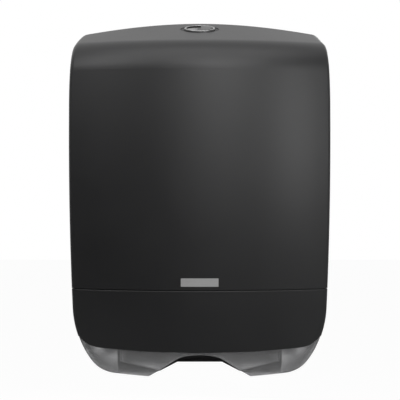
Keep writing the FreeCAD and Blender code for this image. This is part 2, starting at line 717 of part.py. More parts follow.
STRIKE_SCREWS = [(side * (S.hook_width / 2 + 4), -S.rib_reach - 8) for side in (-1, 1)]
SCREW_DEPTH = S.shelf_z - 10
shelf_holes = [post(S.small_screw, x, y, SCREW_DEPTH - 1, S.shelf_z + 5) for x, y in STRIKE_SCREWS]
lug = cut(fuse(rod(S.lug_radius, S.lug_x, HINGE_Y, HINGE_Z, LUG_OUT),
               block(S.lug_x, LUG_OUT, HINGE_Y, ROOT_Y, HINGE_Z + S.pin_radius, TRAY_Z - 1)),
          rod(S.pin_radius, S.lug_x - 5, HINGE_Y, HINGE_Z, LUG_OUT + 5))
TRAY_TOP = TRAY_Z + S.tray_wall
SIDE_TOP = TRAY_TOP + S.tray_rise
TRAY_SCREWS = [(y, SIDE_TOP - 14) for y in (-S.bay_depth / 2 + 10, -S.bay_depth + 15)]
tray_holes = [rod(S.screw_radius, S.bay_half - 8, y, z, BAY_OUT + 5) for y, z in TRAY_SCREWS]


def wall_slot(x, z):
    """Slot through the back plate for a wall screw."""
    half = (S.slot_length - S.slot_width) / 2
    radius = S.slot_width / 2
    front, behind = -S.rib_reach - 3, 4
    return fuse(stud(radius, x - half, z, front, behind), stud(radius, x + half, z, front, behind),
                block(x - half, x + half, front, behind, z - radius, z + radius))


wall_slots = [wall_slot(S.slot_x / 2 * i, S.slot_z / 2 * k) for i in (-1, 1) for k in (-1, 1)]
body = common(rim, span(-S.chassis_foot, LID))
node("rear_chassis", cut(fuse(body, *both(bay_side, lug), *ribs, shelf), *shelf_holes, *wall_slots,
                         *both(*tray_holes)))

# Hinge pins, pressed into the lugs
pair("hinge_pin", fuse(rod(S.pin_radius, S.lug_x - 2, HINGE_Y, HINGE_Z, EAR_OUT + 1.5),
                       rod(S.pin_radius + 1.5, S.lug_x - 4, HINGE_Y, HINGE_Z, S.lug_x)))

# Towel tray: floor with the dispensing slot, side flanges, throat behind the slot and wings in front of it
TRAY_FRONT = MOUTH_FRONT - 1
TRAY_BACK = PLATE_Y - 1
THROAT_OUT = S.mouth_half - 1
THROAT = THROAT_OUT - S.tray_wall
THROAT_BACK = -S.throat_y
THROAT_FRONT = THROAT_BACK - S.tray_wall
SLOT_BACK = THROAT_FRONT - 2.5
SLOT_FRONT = SLOT_BACK - S.slot_end * 2
SLOT_MID = SLOT_BACK - S.slot_end
SLOT_X = THROAT - 1.5 - S.slot_end
TRAY_MID = TRAY_Z + S.tray_wall / 2
tray_floor = plan_prism(TRAY_Z, TRAY_TOP, [
    (S.bay_half, TRAY_BACK),
    (-S.bay_half, TRAY_BACK),
    (-S.bay_half, TRAY_FRONT),
    (S.bay_half, TRAY_FRONT, S.tray_bow, 1),
])
tray_lip = plan_prism(TRAY_MID, TRAY_TOP + 7, [
    (-S.bay_half, TRAY_FRONT),
    (S.bay_half, TRAY_FRONT, S.tray_bow, 1),
    (S.bay_half, TRAY_FRONT + S.tray_wall),
    (-S.bay_half, TRAY_FRONT + S.tray_wall, S.tray_bow - S.tray_wall, -1),
])
tray_side = side_prism(S.bay_half - S.tray_wall, S.bay_half, [
    (TRAY_BACK, TRAY_MID),
    (TRAY_BACK, SIDE_TOP),
    (-S.bay_depth + 9, SIDE_TOP),
    (TRAY_FRONT, TRAY_TOP + 7),
    (TRAY_FRONT, TRAY_MID),
])
slot = plan_prism(TRAY_Z - 5, TRAY_TOP + 5, [
    (SLOT_X, SLOT_BACK, S.slot_end, 1),
    (-SLOT_X, SLOT_BACK),
    (-SLOT_X - S.slot_end, SLOT_MID, S.slot_end, 1),
    (-SLOT_X, SLOT_FRONT, S.slot_end, 1),
    (SLOT_X, SLOT_FRONT),
    (SLOT_X + S.slot_end, SLOT_MID, S.slot_end, 1),
])
THROAT_FOOT = -S.throat_z
throat = front_prism(THROAT_BACK, THROAT_FRONT, [
    (THROAT, TRAY_MID),
    (-THROAT, TRAY_MID),
    (-THROAT, THROAT_FOOT),
    (-S.horn_x - 5, THROAT_FOOT),
    (-S.horn_x, -S.horn_z),
    (-S.outlet_half, -S.outlet_z),
    (-S.outlet_half, S.bead - S.outlet_z),
    (S.outlet_half, S.bead - S.outlet_z),
    (S.outlet_half, -S.outlet_z),
    (S.horn_x, -S.horn_z),
    (S.horn_x + 5, THROAT_FOOT),
    (THROAT, THROAT_FOOT),
])
bead = rod(S.bead, -S.outlet_half, (THROAT_BACK + THROAT_FRONT) / 2, S.bead - S.outlet_z, S.outlet_half)

# Wings: thin plates close behind the skirt, on cheeks that hang from the tray
WING_OUT = SKIRT_IN + S.wing_gap
WING_IN = WING_OUT + S.tray_wall
wing_room = form(WING_OUT, BEHIND, FRONT_END)
wing_hollow = bowed(WING_IN)
wing_shape = front_prism(-S.bay_depth, FRONT_END, [
    (THROAT_OUT, -S.wing_top),
    (S.wing_tip, -S.wing_top - S.wing_taper),
    (S.wing_tip, S.rib_height - S.wing_foot),
    (THROAT_OUT, -S.wing_foot),
])
wing = common(cut(wing_room, wing_hollow), wing_shape)
rib_shape = front_prism(-S.bay_depth, FRONT_END, [
    (THROAT_OUT, S.rib_height - S.wing_foot),
    (S.wing_tip, S.rib_height * 2 - S.wing_foot),
    (S.wing_tip, S.rib_height - S.wing_foot),
    (THROAT_OUT, -S.wing_foot),
])
wing_rib = common(cut(form(SKIRT_IN + S.wing_rib, BEHIND, FRONT_END), wing_hollow), rib_shape)
cheek = common(side_prism(THROAT, THROAT_OUT, [
    (THROAT_BACK, TRAY_MID),
    (TRAY_FRONT - 8, TRAY_MID),
    (-S.case_depth, 6 - S.wing_top),
    (-S.case_depth, -S.wing_foot),
    (MOUTH_FRONT - 3, -S.wing_foot),
    (MOUTH_FRONT + 8, HINGE_Z + 8),
    (THROAT_FRONT - 12, HINGE_Z + 8),
    (THROAT_BACK, THROAT_FOOT + 5),
]), wing_room)
node("towel_tray", cut(fuse(tray_floor, tray_lip, throat, bead, *both(tray_side, wing, wing_rib, cheek)), slot,
                       *both(*tray_holes)))
SIDE_IN = S.bay_half - S.tray_wall
node("tray_screws", fuse(*both(*[fuse(rod(S.screw_head, SIDE_IN - S.head_height, y, z, SIDE_IN),
                                      rod(S.screw_radius, SIDE_IN - 1, y, z, BAY_OUT))
                                 for y, z in TRAY_SCREWS])))

# Stack guides: upright strips on the bay walls' front edges that hold the towels in the bay
GUIDE_IN = S.bay_half - S.guide_reach
pair("stack_guide", plan_prism(-S.guide_foot, S.guide_top, [
    (BAY_OUT, -S.bay_depth - 3),
    (BAY_OUT, -S.bay_depth),
    (GUIDE_IN, -S.bay_depth),
    (GUIDE_IN - 2, -S.bay_depth - 7),
    (GUIDE_IN, -S.bay_depth - 9),
    (GUIDE_IN + 3, -S.bay_depth - 3),
]))

# Latch: lever with its hook, pin and spring
PIVOT = (S.pivot_y, -S.pivot_drop)
LEVER_SEAT = PIVOT[1] + 3.6
NOSE = -S.hook_drop
STEM_FOOT = -S.pivot_drop + 6.8
ARM_END = -S.pivot_y
HALF_LEVER = S.hook_width / 2
lever = side_prism(-HALF_LEVER, HALF_LEVER, [
    (ARM_END, PIVOT[1] + 2.5),
    (ARM_END, STEM_FOOT - 0.9),
    (2, STEM_FOOT - 0.9),
    (PIVOT[0], PIVOT[1] + 4.2),
    (S.hook_y, LEVER_SEAT),
    (S.hook_y, NOSE + 1),
    (S.hook_y - 1, NOSE),
    (S.hook_y - 4, NOSE),
    (S.hook_y - 4, PIVOT[1] - 0.5),
    (PIVOT[0] + 6, PIVOT[1] - 3.5),
    (PIVOT[0], PIVOT[1] - 4.3),
    (PIVOT[0] - 5, PIVOT[1] - 2.5),
    (-2, PIVOT[1] + 1.5),
])
BRACKET_IN = HALF_LEVER + S.side_gap
BRACKET_OUT = BRACKET_IN + 3
node("latch_lever", to_lock(cut(lever, rod(S.latch_pin + S.pin_play, -BRACKET_OUT, *PIVOT, BRACKET_OUT))))
node("latch_pin", to_lock(fuse(rod(S.latch_pin, -BRACKET_OUT - 1, *PIVOT, BRACKET_OUT + 1),
                               rod(S.latch_pin + 1, BRACKET_OUT, *PIVOT, BRACKET_OUT + 1.5))))
BARREL_FOOT = -S.lock_depth
node("latch_spring", to_lock(coil(2.6, 0.7, LEVER_SEAT + S.run_gap, BARREL_FOOT, 3, S.hook_y - 5.5)))

# Strike plate with its lip before the hook
NOSE_Z = LOCK_Z + (S.hook_y - 4) * CROWN_SIN - S.hook_drop * CROWN_COS
NOSE_Y = (S.hook_y - 4) * CROWN_COS + S.hook_drop * CROWN_SIN - S.lock_y
STRIKE_TOP = NOSE_Z - S.hook_clear
LIP_BACK = NOSE_Y - 5.3
SHEET_TOP = S.shelf_z + S.strike_wall
STRIKE_HALF = HALF_LEVER + S.strike_side
strike = side_prism(-STRIKE_HALF, STRIKE_HALF, [
    (-S.rib_reach - 1, S.shelf_z),
    (-S.rib_reach - 1, SHEET_TOP),
    (LIP_BACK, SHEET_TOP),
    (LIP_BACK, STRIKE_TOP),
    (LIP_BACK - S.strike_wall, STRIKE_TOP),
    (LIP_BACK - S.strike_wall, S.shelf_z),
])
node("strike_plate", cut(strike, *[post(S.small_screw, x, y, S.shelf_z - 5, SHEET_TOP + 5)
                                   for x, y in STRIKE_SCREWS]))
node("strike_screws", fuse(*[fuse(post(S.small_screw * 2, x, y, SHEET_TOP, SHEET_TOP + S.head_height),
                                  post(S.small_screw, x, y, SCREW_DEPTH, SHEET_TOP + 1))
                             for x, y in STRIKE_SCREWS]))

# Lock: bezel, housing and its screws
ROOM = BORE - S.lock_wall - S.side_gap
PAD_FOOT = -S.lock_pad
FLANGE_FOOT = PAD_FOOT - S.lock_wall
FLOOR_TOP = BARREL_FOOT + 2
FLOOR_BORE = ROOM - 6
node("lock_bezel", to_lock(cut(post(BORE - S.run_gap, 0, 0, PAD_FOOT, -S.bezel_drop),
                               post(S.lock_radius + S.run_gap, 0, 0, PAD_FOOT - 1, 1))))
barrel = cut(fuse(post(BORE - S.side_gap, 0, 0, BARREL_FOOT, PAD_FOOT - 1),
                  post(FLANGE, 0, 0, FLANGE_FOOT, PAD_FOOT)),
             post(ROOM, 0, 0, FLOOR_TOP, PAD_FOOT + 1),
             post(FLOOR_BORE, 0, 0, BARREL_FOOT - 1, FLOOR_TOP + 1),
             *around(*SCREW_RING, lambda x, y: post(S.small_screw, x, y, FLANGE_FOOT - 1, PAD_FOOT + 1)))
bracket = side_prism(BRACKET_IN, BRACKET_OUT, [
    (PIVOT[0] - 5, BARREL_FOOT + 1.5),
    (PIVOT[0] + 6, BARREL_FOOT + 1.5),
    (PIVOT[0] + 6, PIVOT[1] - 1),
    (PIVOT[0] + 4, PIVOT[1] - 4),
    (PIVOT[0] - 4, PIVOT[1] - 4),
    (PIVOT[0] - 5, PIVOT[1] - 1),
])
node("lock_housing", to_lock(cut(fuse(barrel, *both(bracket)), rod(S.latch_pin, -20, *PIVOT, 20))))
node("lock_screws", to_lock(fuse(*around(*SCREW_RING, lambda x, y: fuse(
    post(S.small_screw * 2, x, y, FLANGE_FOOT - S.head_height, FLANGE_FOOT),
    post(S.small_screw, x, y, FLANGE_FOOT - 1, SCREW_TIP - S.run_gap))))))

# Push button with its stem, and the lock core in it with its cam
SKIRT_TOP = PAD_FOOT - S.seat_gap
SKIRT_FOOT = SKIRT_TOP - 7
PAD_PROUD = S.lock_proud + 0.4
face = fuse(post(S.lock_radius, 0, 0, PAD_FOOT - 1, S.lock_proud),
            post(ROOM - S.run_gap, 0, 0, SKIRT_FOOT, SKIRT_TOP))
thumb_span = (S.core_radius - S.core_x + 4, S.lock_radius, -S.lock_radius, S.lock_radius, -1, PAD_PROUD)
thumb = common(post(S.lock_radius - S.lock_ring - 1, 0, 0, -1, PAD_PROUD), block(*thumb_span))
dish = post(S.lock_radius - S.lock_ring, 0, 0, -0.2, S.lock_proud + 1)
under = post(S.lock_radius - 0.8, 0, 0, SKIRT_FOOT - 1, PAD_FOOT)
core_bore = post(S.core_radius + S.pin_play, -S.core_x, 0, PAD_FOOT - 3, 3)
stem = block(2, 10, ARM_END + 1, -2, STEM_FOOT, PAD_FOOT + 1)
node("push_button", to_lock(fuse(cut(face, dish, under, core_bore), thumb, stem)))
CORE_FOOT = SKIRT_FOOT - 1.5
key_slot = block(-S.core_x - S.core_radius + 1.5, -S.core_x + S.core_radius - 1.5, -0.9, 0.9, -3, 2)
core_stud = S.core_radius - 2.5
node("lock_core", to_lock(cut(fuse(post(S.core_radius, -S.core_x, 0, PAD_FOOT - 2, 0.2),
                                   post(core_stud, -S.core_x, 0, CORE_FOOT, PAD_FOOT)), key_slot)))
cam = fuse(post(S.core_radius - 0.5, -S.core_x, 0, CORE_FOOT + 1, CORE_FOOT + 3.5),
           block(-S.core_x - 2.5, -S.core_x + 2.5, 0, S.core_radius + 3, CORE_FOOT + 1, CORE_FOOT + 3.5))
node("lock_cam", to_lock(cut(cam, post(core_stud, -S.core_x, 0, CORE_FOOT - 1, PAD_FOOT))))
WIRE = 1.3
node("button_spring", to_lock(coil(ROOM - 3 - WIRE / 2, WIRE, FLOOR_TOP, SKIRT_TOP, 4)))

# Every object is sound before anything is written
doc.recompute()
faults = [obj.Label for obj in doc.Objects if "Invalid" in obj.State or "Error" in obj.State]
faults += [part.Label for part in NODES if part.Shape.isNull() or not part.Shape.isValid()]
if faults:
    raise RuntimeError(f"unsound objects: {faults}")
os.makedirs("parts", exist_ok=True)
for part in NODES:
    part.Shape.exportStep(f"parts/{part.Label}.step")
    solids = part.Shape.Solids
    print(f"{part.Label}: {len(solids)} solids, {sum(solid.Volume for solid in solids) / 1000:.2f} cm3")
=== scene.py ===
# %% [markdown]
# # A wall-mounted folded-towel dispenser
# The case is a deep satin black moulding in two parts, with a smoked skirt round the outlet, a small silver
# plate above the seam and a round lock in the crown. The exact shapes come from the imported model, so this
# file gives every piece its finish, adds the fine parts that a moulding tool leaves, and lights the case.

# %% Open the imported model
import json
import math

import bmesh
import bpy
from mathutils import Matrix, Vector


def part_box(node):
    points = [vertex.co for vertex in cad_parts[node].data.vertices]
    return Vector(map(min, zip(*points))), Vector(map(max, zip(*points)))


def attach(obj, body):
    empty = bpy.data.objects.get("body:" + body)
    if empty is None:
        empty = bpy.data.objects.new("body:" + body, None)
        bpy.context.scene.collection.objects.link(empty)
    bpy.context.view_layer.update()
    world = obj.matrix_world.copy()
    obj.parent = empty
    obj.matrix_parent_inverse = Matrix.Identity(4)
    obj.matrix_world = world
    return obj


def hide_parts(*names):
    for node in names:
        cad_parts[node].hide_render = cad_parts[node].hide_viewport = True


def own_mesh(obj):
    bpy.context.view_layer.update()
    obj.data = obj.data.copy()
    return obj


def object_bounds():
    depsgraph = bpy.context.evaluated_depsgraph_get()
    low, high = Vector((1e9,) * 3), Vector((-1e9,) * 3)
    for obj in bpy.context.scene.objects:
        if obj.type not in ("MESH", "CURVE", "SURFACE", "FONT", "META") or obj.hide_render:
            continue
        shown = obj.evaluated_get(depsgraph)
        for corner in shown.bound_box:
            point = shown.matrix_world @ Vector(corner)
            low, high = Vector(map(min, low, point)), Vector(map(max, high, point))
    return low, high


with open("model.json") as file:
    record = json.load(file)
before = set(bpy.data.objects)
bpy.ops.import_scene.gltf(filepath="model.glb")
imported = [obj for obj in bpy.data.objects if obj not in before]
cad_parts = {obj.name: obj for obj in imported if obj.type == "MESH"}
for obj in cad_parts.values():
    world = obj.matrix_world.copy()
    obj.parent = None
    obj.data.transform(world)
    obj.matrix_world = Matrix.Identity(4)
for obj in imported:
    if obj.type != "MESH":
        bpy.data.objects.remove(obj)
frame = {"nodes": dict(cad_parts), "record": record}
cad_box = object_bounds()
MM = 0.001
record = frame["record"]
print("nodes:", len(frame["nodes"]), "box:", [tuple(round(v, 4) for v in corner) for corner in cad_box])

# %% [markdown]
# ## Camera
# The photograph was taken from straight in front, with a long lens about level with the middle of the
# case. The lens is given by how many of its pixels one unit of slope covers in a 400 pixel frame, and
# the camera nods down a little, because the case hangs slightly low in the frame.

# %% Place the camera
IMAGE_WIDTH = 400
PIXELS_PER_SLOPE = 1376.6
CAMERA_AWAY = 1.6979
CAMERA_HEIGHT = 0.0079
CAMERA_ASIDE = 0.0004
AXIS_ROW = 193.2

scene = bpy.context.scene
lens = bpy.data.cameras.new("long_lens")
lens.sensor_width = 36
lens.lens = lens.sensor_width * PIXELS_PER_SLOPE / IMAGE_WIDTH
lens.clip_start, lens.clip_end = 0.05, 50
camera = bpy.data.objects.new("camera", lens)
scene.collection.objects.link(camera)
camera.location = (CAMERA_ASIDE, -CAMERA_AWAY, CAMERA_HEIGHT)
nod = math.atan((IMAGE_WIDTH / 2 - AXIS_ROW) / PIXELS_PER_SLOPE)
camera.rotation_euler = (math.pi / 2 - nod, 0, 0)
scene.camera = camera
print(f"lens {lens.lens:.1f} mm, nod {math.degrees(nod):.2f} degrees")

# %% [markdown]
# ## Lamps
# The case was photographed in a white studio. A wide lamp overhead lights the crown. A tall one in front and a
# small one over the brow shade the front from top to bottom, and one at the upper left and two at the right
# light the sides. The last stands behind and lights the back for the other views. One lamp would be simpler,
# but the photograph's shades come from several sides. Area lamps have soft edges, which suit a satin moulding.
# Their powers were worked out together, from one picture with each lamp alone.

# %% Place the lamps
def area_lamp(name, size, height, power, place, target):
    """A soft rectangular lamp that faces a point."""
    light = bpy.data.lights.new(name, "AREA")
    light.shape = "RECTANGLE"
    light.size, light.size_y = size, height
    light.energy = power
    lamp = bpy.data.objects.new(name, light)
    scene.collection.objects.link(lamp)
    lamp.location = place
    lamp.rotation_euler = (Vector(target) - Vector(place)).to_track_quat("-Z", "Y").to_euler()


# Name, width and height in metres, power in watts, place, and the point that it faces
LAMPS = [
    ("overhead", 1.4, 0.5, 4.9, (0, -0.35, 1.0), (0, -0.08, 0.15)),
    ("front", 0.7, 1.2, 14.4, (0.3, -1.9, 0.8), (0, -0.08, 0.05)),
    ("brow", 0.8, 0.5, 2.4, (0.1, -0.75, 0.75), (0, -0.12, 0.1)),
    ("left_high", 0.9, 0.9, 11, (-1.2, -1.0, 1.1), (0, -0.08, 0.05)),
    ("right_side", 0.9, 1.4, 3.4, (1.5, -0.9, 0.35), (0, -0.08, 0)),
    ("right_near", 0.15, 0.3, 1.2, (0.55, -0.6, 0.16), (0.1, -0.1, 0.08)),
    ("back_fill", 1.2, 1.2, 14, (0.8, 2.2, 0.25), (0, 0, 0)),
]
for lamp in LAMPS:
    area_lamp(*lamp)
print("lamps:", len(LAMPS))

# %% [markdown]
# ## Backdrop
# Everything round the case is white to the camera and through the skirt. In gloss it is white only
# behind the case, where the crown mirrors it, because a backdrop that is white all round would wash out
# the black of the front. The edge between the two is a slope and not a step, so no line shows in the gloss.

# %% Light the backdrop
WORLD_LIGHT = 0.02
BACKDROP_EDGE = -0.15
BACKDROP_FULL = 0.5


def links(tree):
    """Shorthand for joining two sockets of a tree."""
    return lambda start, end: tree.links.new(start, end)


def studio_world(strength):
    """White to the camera and through the skirt, white behind the case in gloss, and soft light elsewhere."""
    world = bpy.data.worlds.new("studio")
    scene.world = world
    world.use_nodes = True
    tree = world.node_tree
    tree.nodes.clear()
    join = links(tree)
    out = tree.nodes.new("ShaderNodeOutputWorld")
    mix = tree.nodes.new("ShaderNodeMixShader")
    soft = tree.nodes.new("ShaderNodeBackground")
    white = tree.nodes.new("ShaderNodeBackground")
    path = tree.nodes.new("ShaderNodeLightPath")
    heading = tree.nodes.new("ShaderNodeTexCoord")
    split = tree.nodes.new("ShaderNodeSeparateXYZ")
    behind = tree.nodes.new("ShaderNodeMapRange")
    mirrored = tree.nodes.new("ShaderNodeMath")
    direct = tree.nodes.new("ShaderNodeMath")
    seen = tree.nodes.new("ShaderNodeMath")
    mirrored.operation = "MULTIPLY"
    direct.operation = "MAXIMUM"
    seen.operation = "MAXIMUM"
    behind.inputs["From Min"].default_value = BACKDROP_EDGE
    behind.inputs["From Max"].default_value = BACKDROP_FULL
    soft.inputs["Color"].default_value = (0.95, 0.97, 1.0, 1)
    soft.inputs["Strength"].default_value = strength
    white.inputs["Color"].default_value = (1, 1, 1, 1)
    white.inputs["Strength"].default_value = 1
    join(heading.outputs["Generated"], split.inputs[0])
    join(split.outputs["Y"], behind.inputs["Value"])
    join(behind.outputs[0], mirrored.inputs[0])
    join(path.outputs["Is Glossy Ray"], mirrored.inputs[1])
    join(path.outputs["Is Camera Ray"], direct.inputs[0])
    join(path.outputs["Is Transmission Ray"], direct.inputs[1])
    join(direct.outputs[0], seen.inputs[0])
    join(mirrored.outputs[0], seen.inputs[1])
    join(seen.outputs[0], mix.inputs[0])
    join(soft.outputs[0], mix.inputs[1])
    join(white.outputs[0], mix.inputs[2])
    join(mix.outputs[0], out.inputs["Surface"])


studio_world(WORLD_LIGHT)
scene.view_settings.view_transform = "Standard"
print("backdrop:", scene.world.name)

# %% [markdown]
# ## Floor
# The floor lies well below the case, since the case hangs on a wall. It is one wide sheet. Its own pale
# colour is mixed with a plain white that only the camera and the smoked skirt see, so it stays white
# like the photograph's background and the shadow on it stays faint.

# %% Lay the floor
FLOOR_Z = -0.62
FLOOR_HALF = 6
FLOOR_FRONT = -0.7
SHADOW_SHARE = 0.15
FLOOR_GLOW = 1.14


def floor_material():
    """Pale floor under a plain white that only the camera and the skirt see."""
    material = bpy.data.materials.new("studio_floor")
    material.use_nodes = True
    tree = material.node_tree
    tree.nodes.clear()
    join = links(tree)
    out = tree.nodes.new("ShaderNodeOutputMaterial")
    mix = tree.nodes.new("ShaderNodeMixShader")
    pale = tree.nodes.new("ShaderNodeBsdfDiffuse")
    glow = tree.nodes.new("ShaderNodeEmission")
    path = tree.nodes.new("ShaderNodeLightPath")
    seen = tree.nodes.new("ShaderNodeMath")
    share = tree.nodes.new("ShaderNodeMath")
    seen.operation = "MAXIMUM"
    share.operation = "MULTIPLY"
    share.inputs[1].default_value = 1 - SHADOW_SHARE
    pale.inputs["Color"].default_value = (0.86, 0.86, 0.86, 1)
    glow.inputs["Color"].default_value = (1, 1, 1, 1)
    glow.inputs["Strength"].default_value = FLOOR_GLOW
    join(path.outputs["Is Camera Ray"], seen.inputs[0])
    join(path.outputs["Is Transmission Ray"], seen.inputs[1])
    join(seen.outputs[0], share.inputs[0])
    join(share.outputs[0], mix.inputs[0])
    join(pale.outputs[0], mix.inputs[1])
    join(glow.outputs[0], mix.inputs[2])
    join(mix.outputs[0], out.inputs["Surface"])
    return material


def mesh_object(name, bm, material):
    """An object at the origin from a finished bmesh."""
    mesh = bpy.data.meshes.new(name)
    bm.to_mesh(mesh)
    bm.free()
    mesh.materials.append(material)
    obj = bpy.data.objects.new(name, mesh)
    scene.collection.objects.link(obj)
    return obj


sheet = bmesh.new()
bmesh.ops.create_grid(sheet, x_segments=1, y_segments=1, size=FLOOR_HALF)
bmesh.ops.translate(sheet, verts=sheet.verts, vec=(0, FLOOR_FRONT + FLOOR_HALF, FLOOR_Z))
floor = mesh_object("floor", sheet, floor_material())
print("floor at", FLOOR_Z)

# %% [markdown]
# ## What the mouldings' surfaces share
# A moulded panel is never one even tone. The tool's wall is lightly etched, so it has a fine grain, and
# handling leaves its gloss a little uneven. Both effects go into node groups, because several
# finishes use them with values of their own.

# %% Grain and gloss groups
BROAD_SHARE = 0.37


def group_tree(name, inputs, outputs):
    """An empty shader group with named float inputs and outputs."""
    tree = bpy.data.node_groups.new(name, "ShaderNodeTree")
    for label, value in inputs:
        socket = tree.interface.new_socket(label, in_out="INPUT", socket_type="NodeSocketFloat")
        socket.default_value = value
    for label in outputs:
        tree.interface.new_socket(label, in_out="OUTPUT", socket_type="NodeSocketFloat")
    return tree, tree.nodes.new("NodeGroupInput"), tree.nodes.new("NodeGroupOutput")


def grain_group():
    """Etched grain: height from two sizes of noise."""
    tree, given, result = group_tree("etched_grain", [("Scale", 900)], ["Height"])
    join = links(tree)
    place = tree.nodes.new("ShaderNodeTexCoord")
    fine = tree.nodes.new("ShaderNodeTexNoise")
    broad = tree.nodes.new("ShaderNodeTexNoise")
    half = tree.nodes.new("ShaderNodeMath")
    both = tree.nodes.new("ShaderNodeMath")
    half.operation = "MULTIPLY"
    half.inputs[1].default_value = BROAD_SHARE
    both.operation = "ADD"
    fine.inputs["Detail"].default_value = 2
    broad.inputs["Detail"].default_value = 3
    join(place.outputs["Object"], fine.inputs["Vector"])
    join(place.outputs["Object"], broad.inputs["Vector"])
    join(given.outputs["Scale"], fine.inputs["Scale"])
    join(given.outputs["Scale"], half.inputs[0])
    join(half.outputs[0], broad.inputs["Scale"])
    join(fine.outputs["Fac"], both.inputs[0])
    join(broad.outputs["Fac"], both.inputs[1])
    join(both.outputs[0], result.inputs["Height"])
    return tree


def gloss_group():
    """Uneven gloss: a middle roughness that wanders by a spread."""
    tree, given, result = group_tree("uneven_gloss", [("Roughness", 0.45), ("Spread", 0.06), ("Scale", 14)],
                                     ["Roughness", "Mask"])
    join = links(tree)
    place = tree.nodes.new("ShaderNodeTexCoord")
    cloud = tree.nodes.new("ShaderNodeTexNoise")
    centred = tree.nodes.new("ShaderNodeMath")
    spread = tree.nodes.new("ShaderNodeMath")
    total = tree.nodes.new("ShaderNodeMath")
    cloud.inputs["Detail"].default_value = 6
    cloud.inputs["Roughness"].default_value = 0.62
    centred.operation = "SUBTRACT"
    centred.inputs[1].default_value = 0.5
    spread.operation = "MULTIPLY"
    total.operation = "ADD"
    join(place.outputs["Object"], cloud.inputs["Vector"])
    join(given.outputs["Scale"], cloud.inputs["Scale"])
    join(cloud.outputs["Fac"], centred.inputs[0])
    join(centred.outputs[0], spread.inputs[0])
    join(given.outputs["Spread"], spread.inputs[1])
    join(spread.outputs[0], total.inputs[0])
    join(given.outputs["Roughness"], total.inputs[1])
    join(total.outputs[0], result.inputs["Roughness"])
    join(cloud.outputs["Fac"], result.inputs["Mask"])
    return tree


GRAIN = grain_group()
GLOSS = gloss_group()
print("groups:", GRAIN.name, GLOSS.name)


# %% Place a group in a material
def placed(tree, group, **values):
    """A group node in a material, with its inputs set."""
    node = tree.nodes.new("ShaderNodeGroup")
    node.node_tree = group
    for label, value in values.items():
        node.inputs[label].default_value = value
    return node


def plain_material(name):
    """A new material, its tree and its Principled node."""
    material = bpy.data.materials.new(name)
    material.use_nodes = True
    return material, material.node_tree, material.node_tree.nodes["Principled BSDF"]


def grained(tree, shader, scale, depth):
    """Puts the etched grain on a shader's normal."""
    grain = placed(tree, GRAIN, Scale=scale)
    bump = tree.nodes.new("ShaderNodeBump")
    bump.inputs["Strength"].default_value = 1
    bump.inputs["Distance"].default_value = depth
    tree.links.new(grain.outputs["Height"], bump.inputs["Height"])
    tree.links.new(bump.outputs["Normal"], shader.inputs["Normal"])


def tinted(tree, mask, dark, light, shader):
    """Base colour that wanders between two tones by a mask."""
    ramp = tree.nodes.new("ShaderNodeMix")
    ramp.data_type = "RGBA"
    ramp.inputs["A"].default_value = (*dark, 1)
    ramp.inputs["B"].default_value = (*light, 1)
    tree.links.new(mask, ramp.inputs["Factor"])
    tree.links.new(ramp.outputs["Result"], shader.inputs["Base Color"])


# %% [markdown]
# ## Finishes
# The two covers share a satin black with a fine grain. The inner mouldings are plainer and duller. The skirt
# is a milky plastic dyed grey: the white behind it comes through scattered. A clear plastic would be simpler,
# but things behind a clear wall keep their edges, and behind the real skirt they are blurred. Here the ends
# of the tray's wings still show as faint upright edges.

# %% Moulded finishes
PLASTIC_IOR = 1.5
SKIRT_IOR = 1.45
SKIRT_CLEARNESS = 0.82


def moulding(name, dark, light, roughness, spread, scale, depth):
    """Opaque moulded plastic, with the depth of its grain in metres."""
    material, tree, shader = plain_material(name)
    gloss = placed(tree, GLOSS, Roughness=roughness, Spread=spread)
    tree.links.new(gloss.outputs["Roughness"], shader.inputs["Roughness"])
    tinted(tree, gloss.outputs["Mask"], dark, light, shader)
    grained(tree, shader, scale, depth)
    shader.inputs["IOR"].default_value = PLASTIC_IOR
    return material


def smoked(name, dye, roughness):
    """Milky plastic dyed grey, with a surface that scatters."""
    material, tree, shader = plain_material(name)
    gloss = placed(tree, GLOSS, Roughness=roughness, Spread=0.03)
    tree.links.new(gloss.outputs["Roughness"], shader.inputs["Roughness"])
    shader.inputs["Base Color"].default_value = (*dye, 1)
    shader.inputs["Transmission Weight"].default_value = SKIRT_CLEARNESS
    shader.inputs["IOR"].default_value = SKIRT_IOR
    return material


# %% Metal finishes
def metal(name, dark, light, roughness, stretch, scale, depth, shine=1):
    """Metal with drawn or brushed lines: shine is the share of it that is bare."""
    material, tree, shader = plain_material(name)
    join = links(tree)
    place = tree.nodes.new("ShaderNodeTexCoord")
    turn = tree.nodes.new("ShaderNodeMapping")
    lines = tree.nodes.new("ShaderNodeTexNoise")
    bump = tree.nodes.new("ShaderNodeBump")
    gloss = placed(tree, GLOSS, Roughness=roughness, Spread=0.1, Scale=60)
    turn.inputs["Scale"].default_value = stretch
    lines.inputs["Scale"].default_value = scale
    lines.inputs["Detail"].default_value = 3
    bump.inputs["Distance"].default_value = depth
    join(place.outputs["Object"], turn.inputs["Vector"])
    join(turn.outputs["Vector"], lines.inputs["Vector"])
    join(lines.outputs["Fac"], bump.inputs["Height"])
    join(bump.outputs["Normal"], shader.inputs["Normal"])
    join(gloss.outputs["Roughness"], shader.inputs["Roughness"])
    tinted(tree, lines.outputs["Fac"], dark, light, shader)
    shader.inputs["Metallic"].default_value = shine
    return material


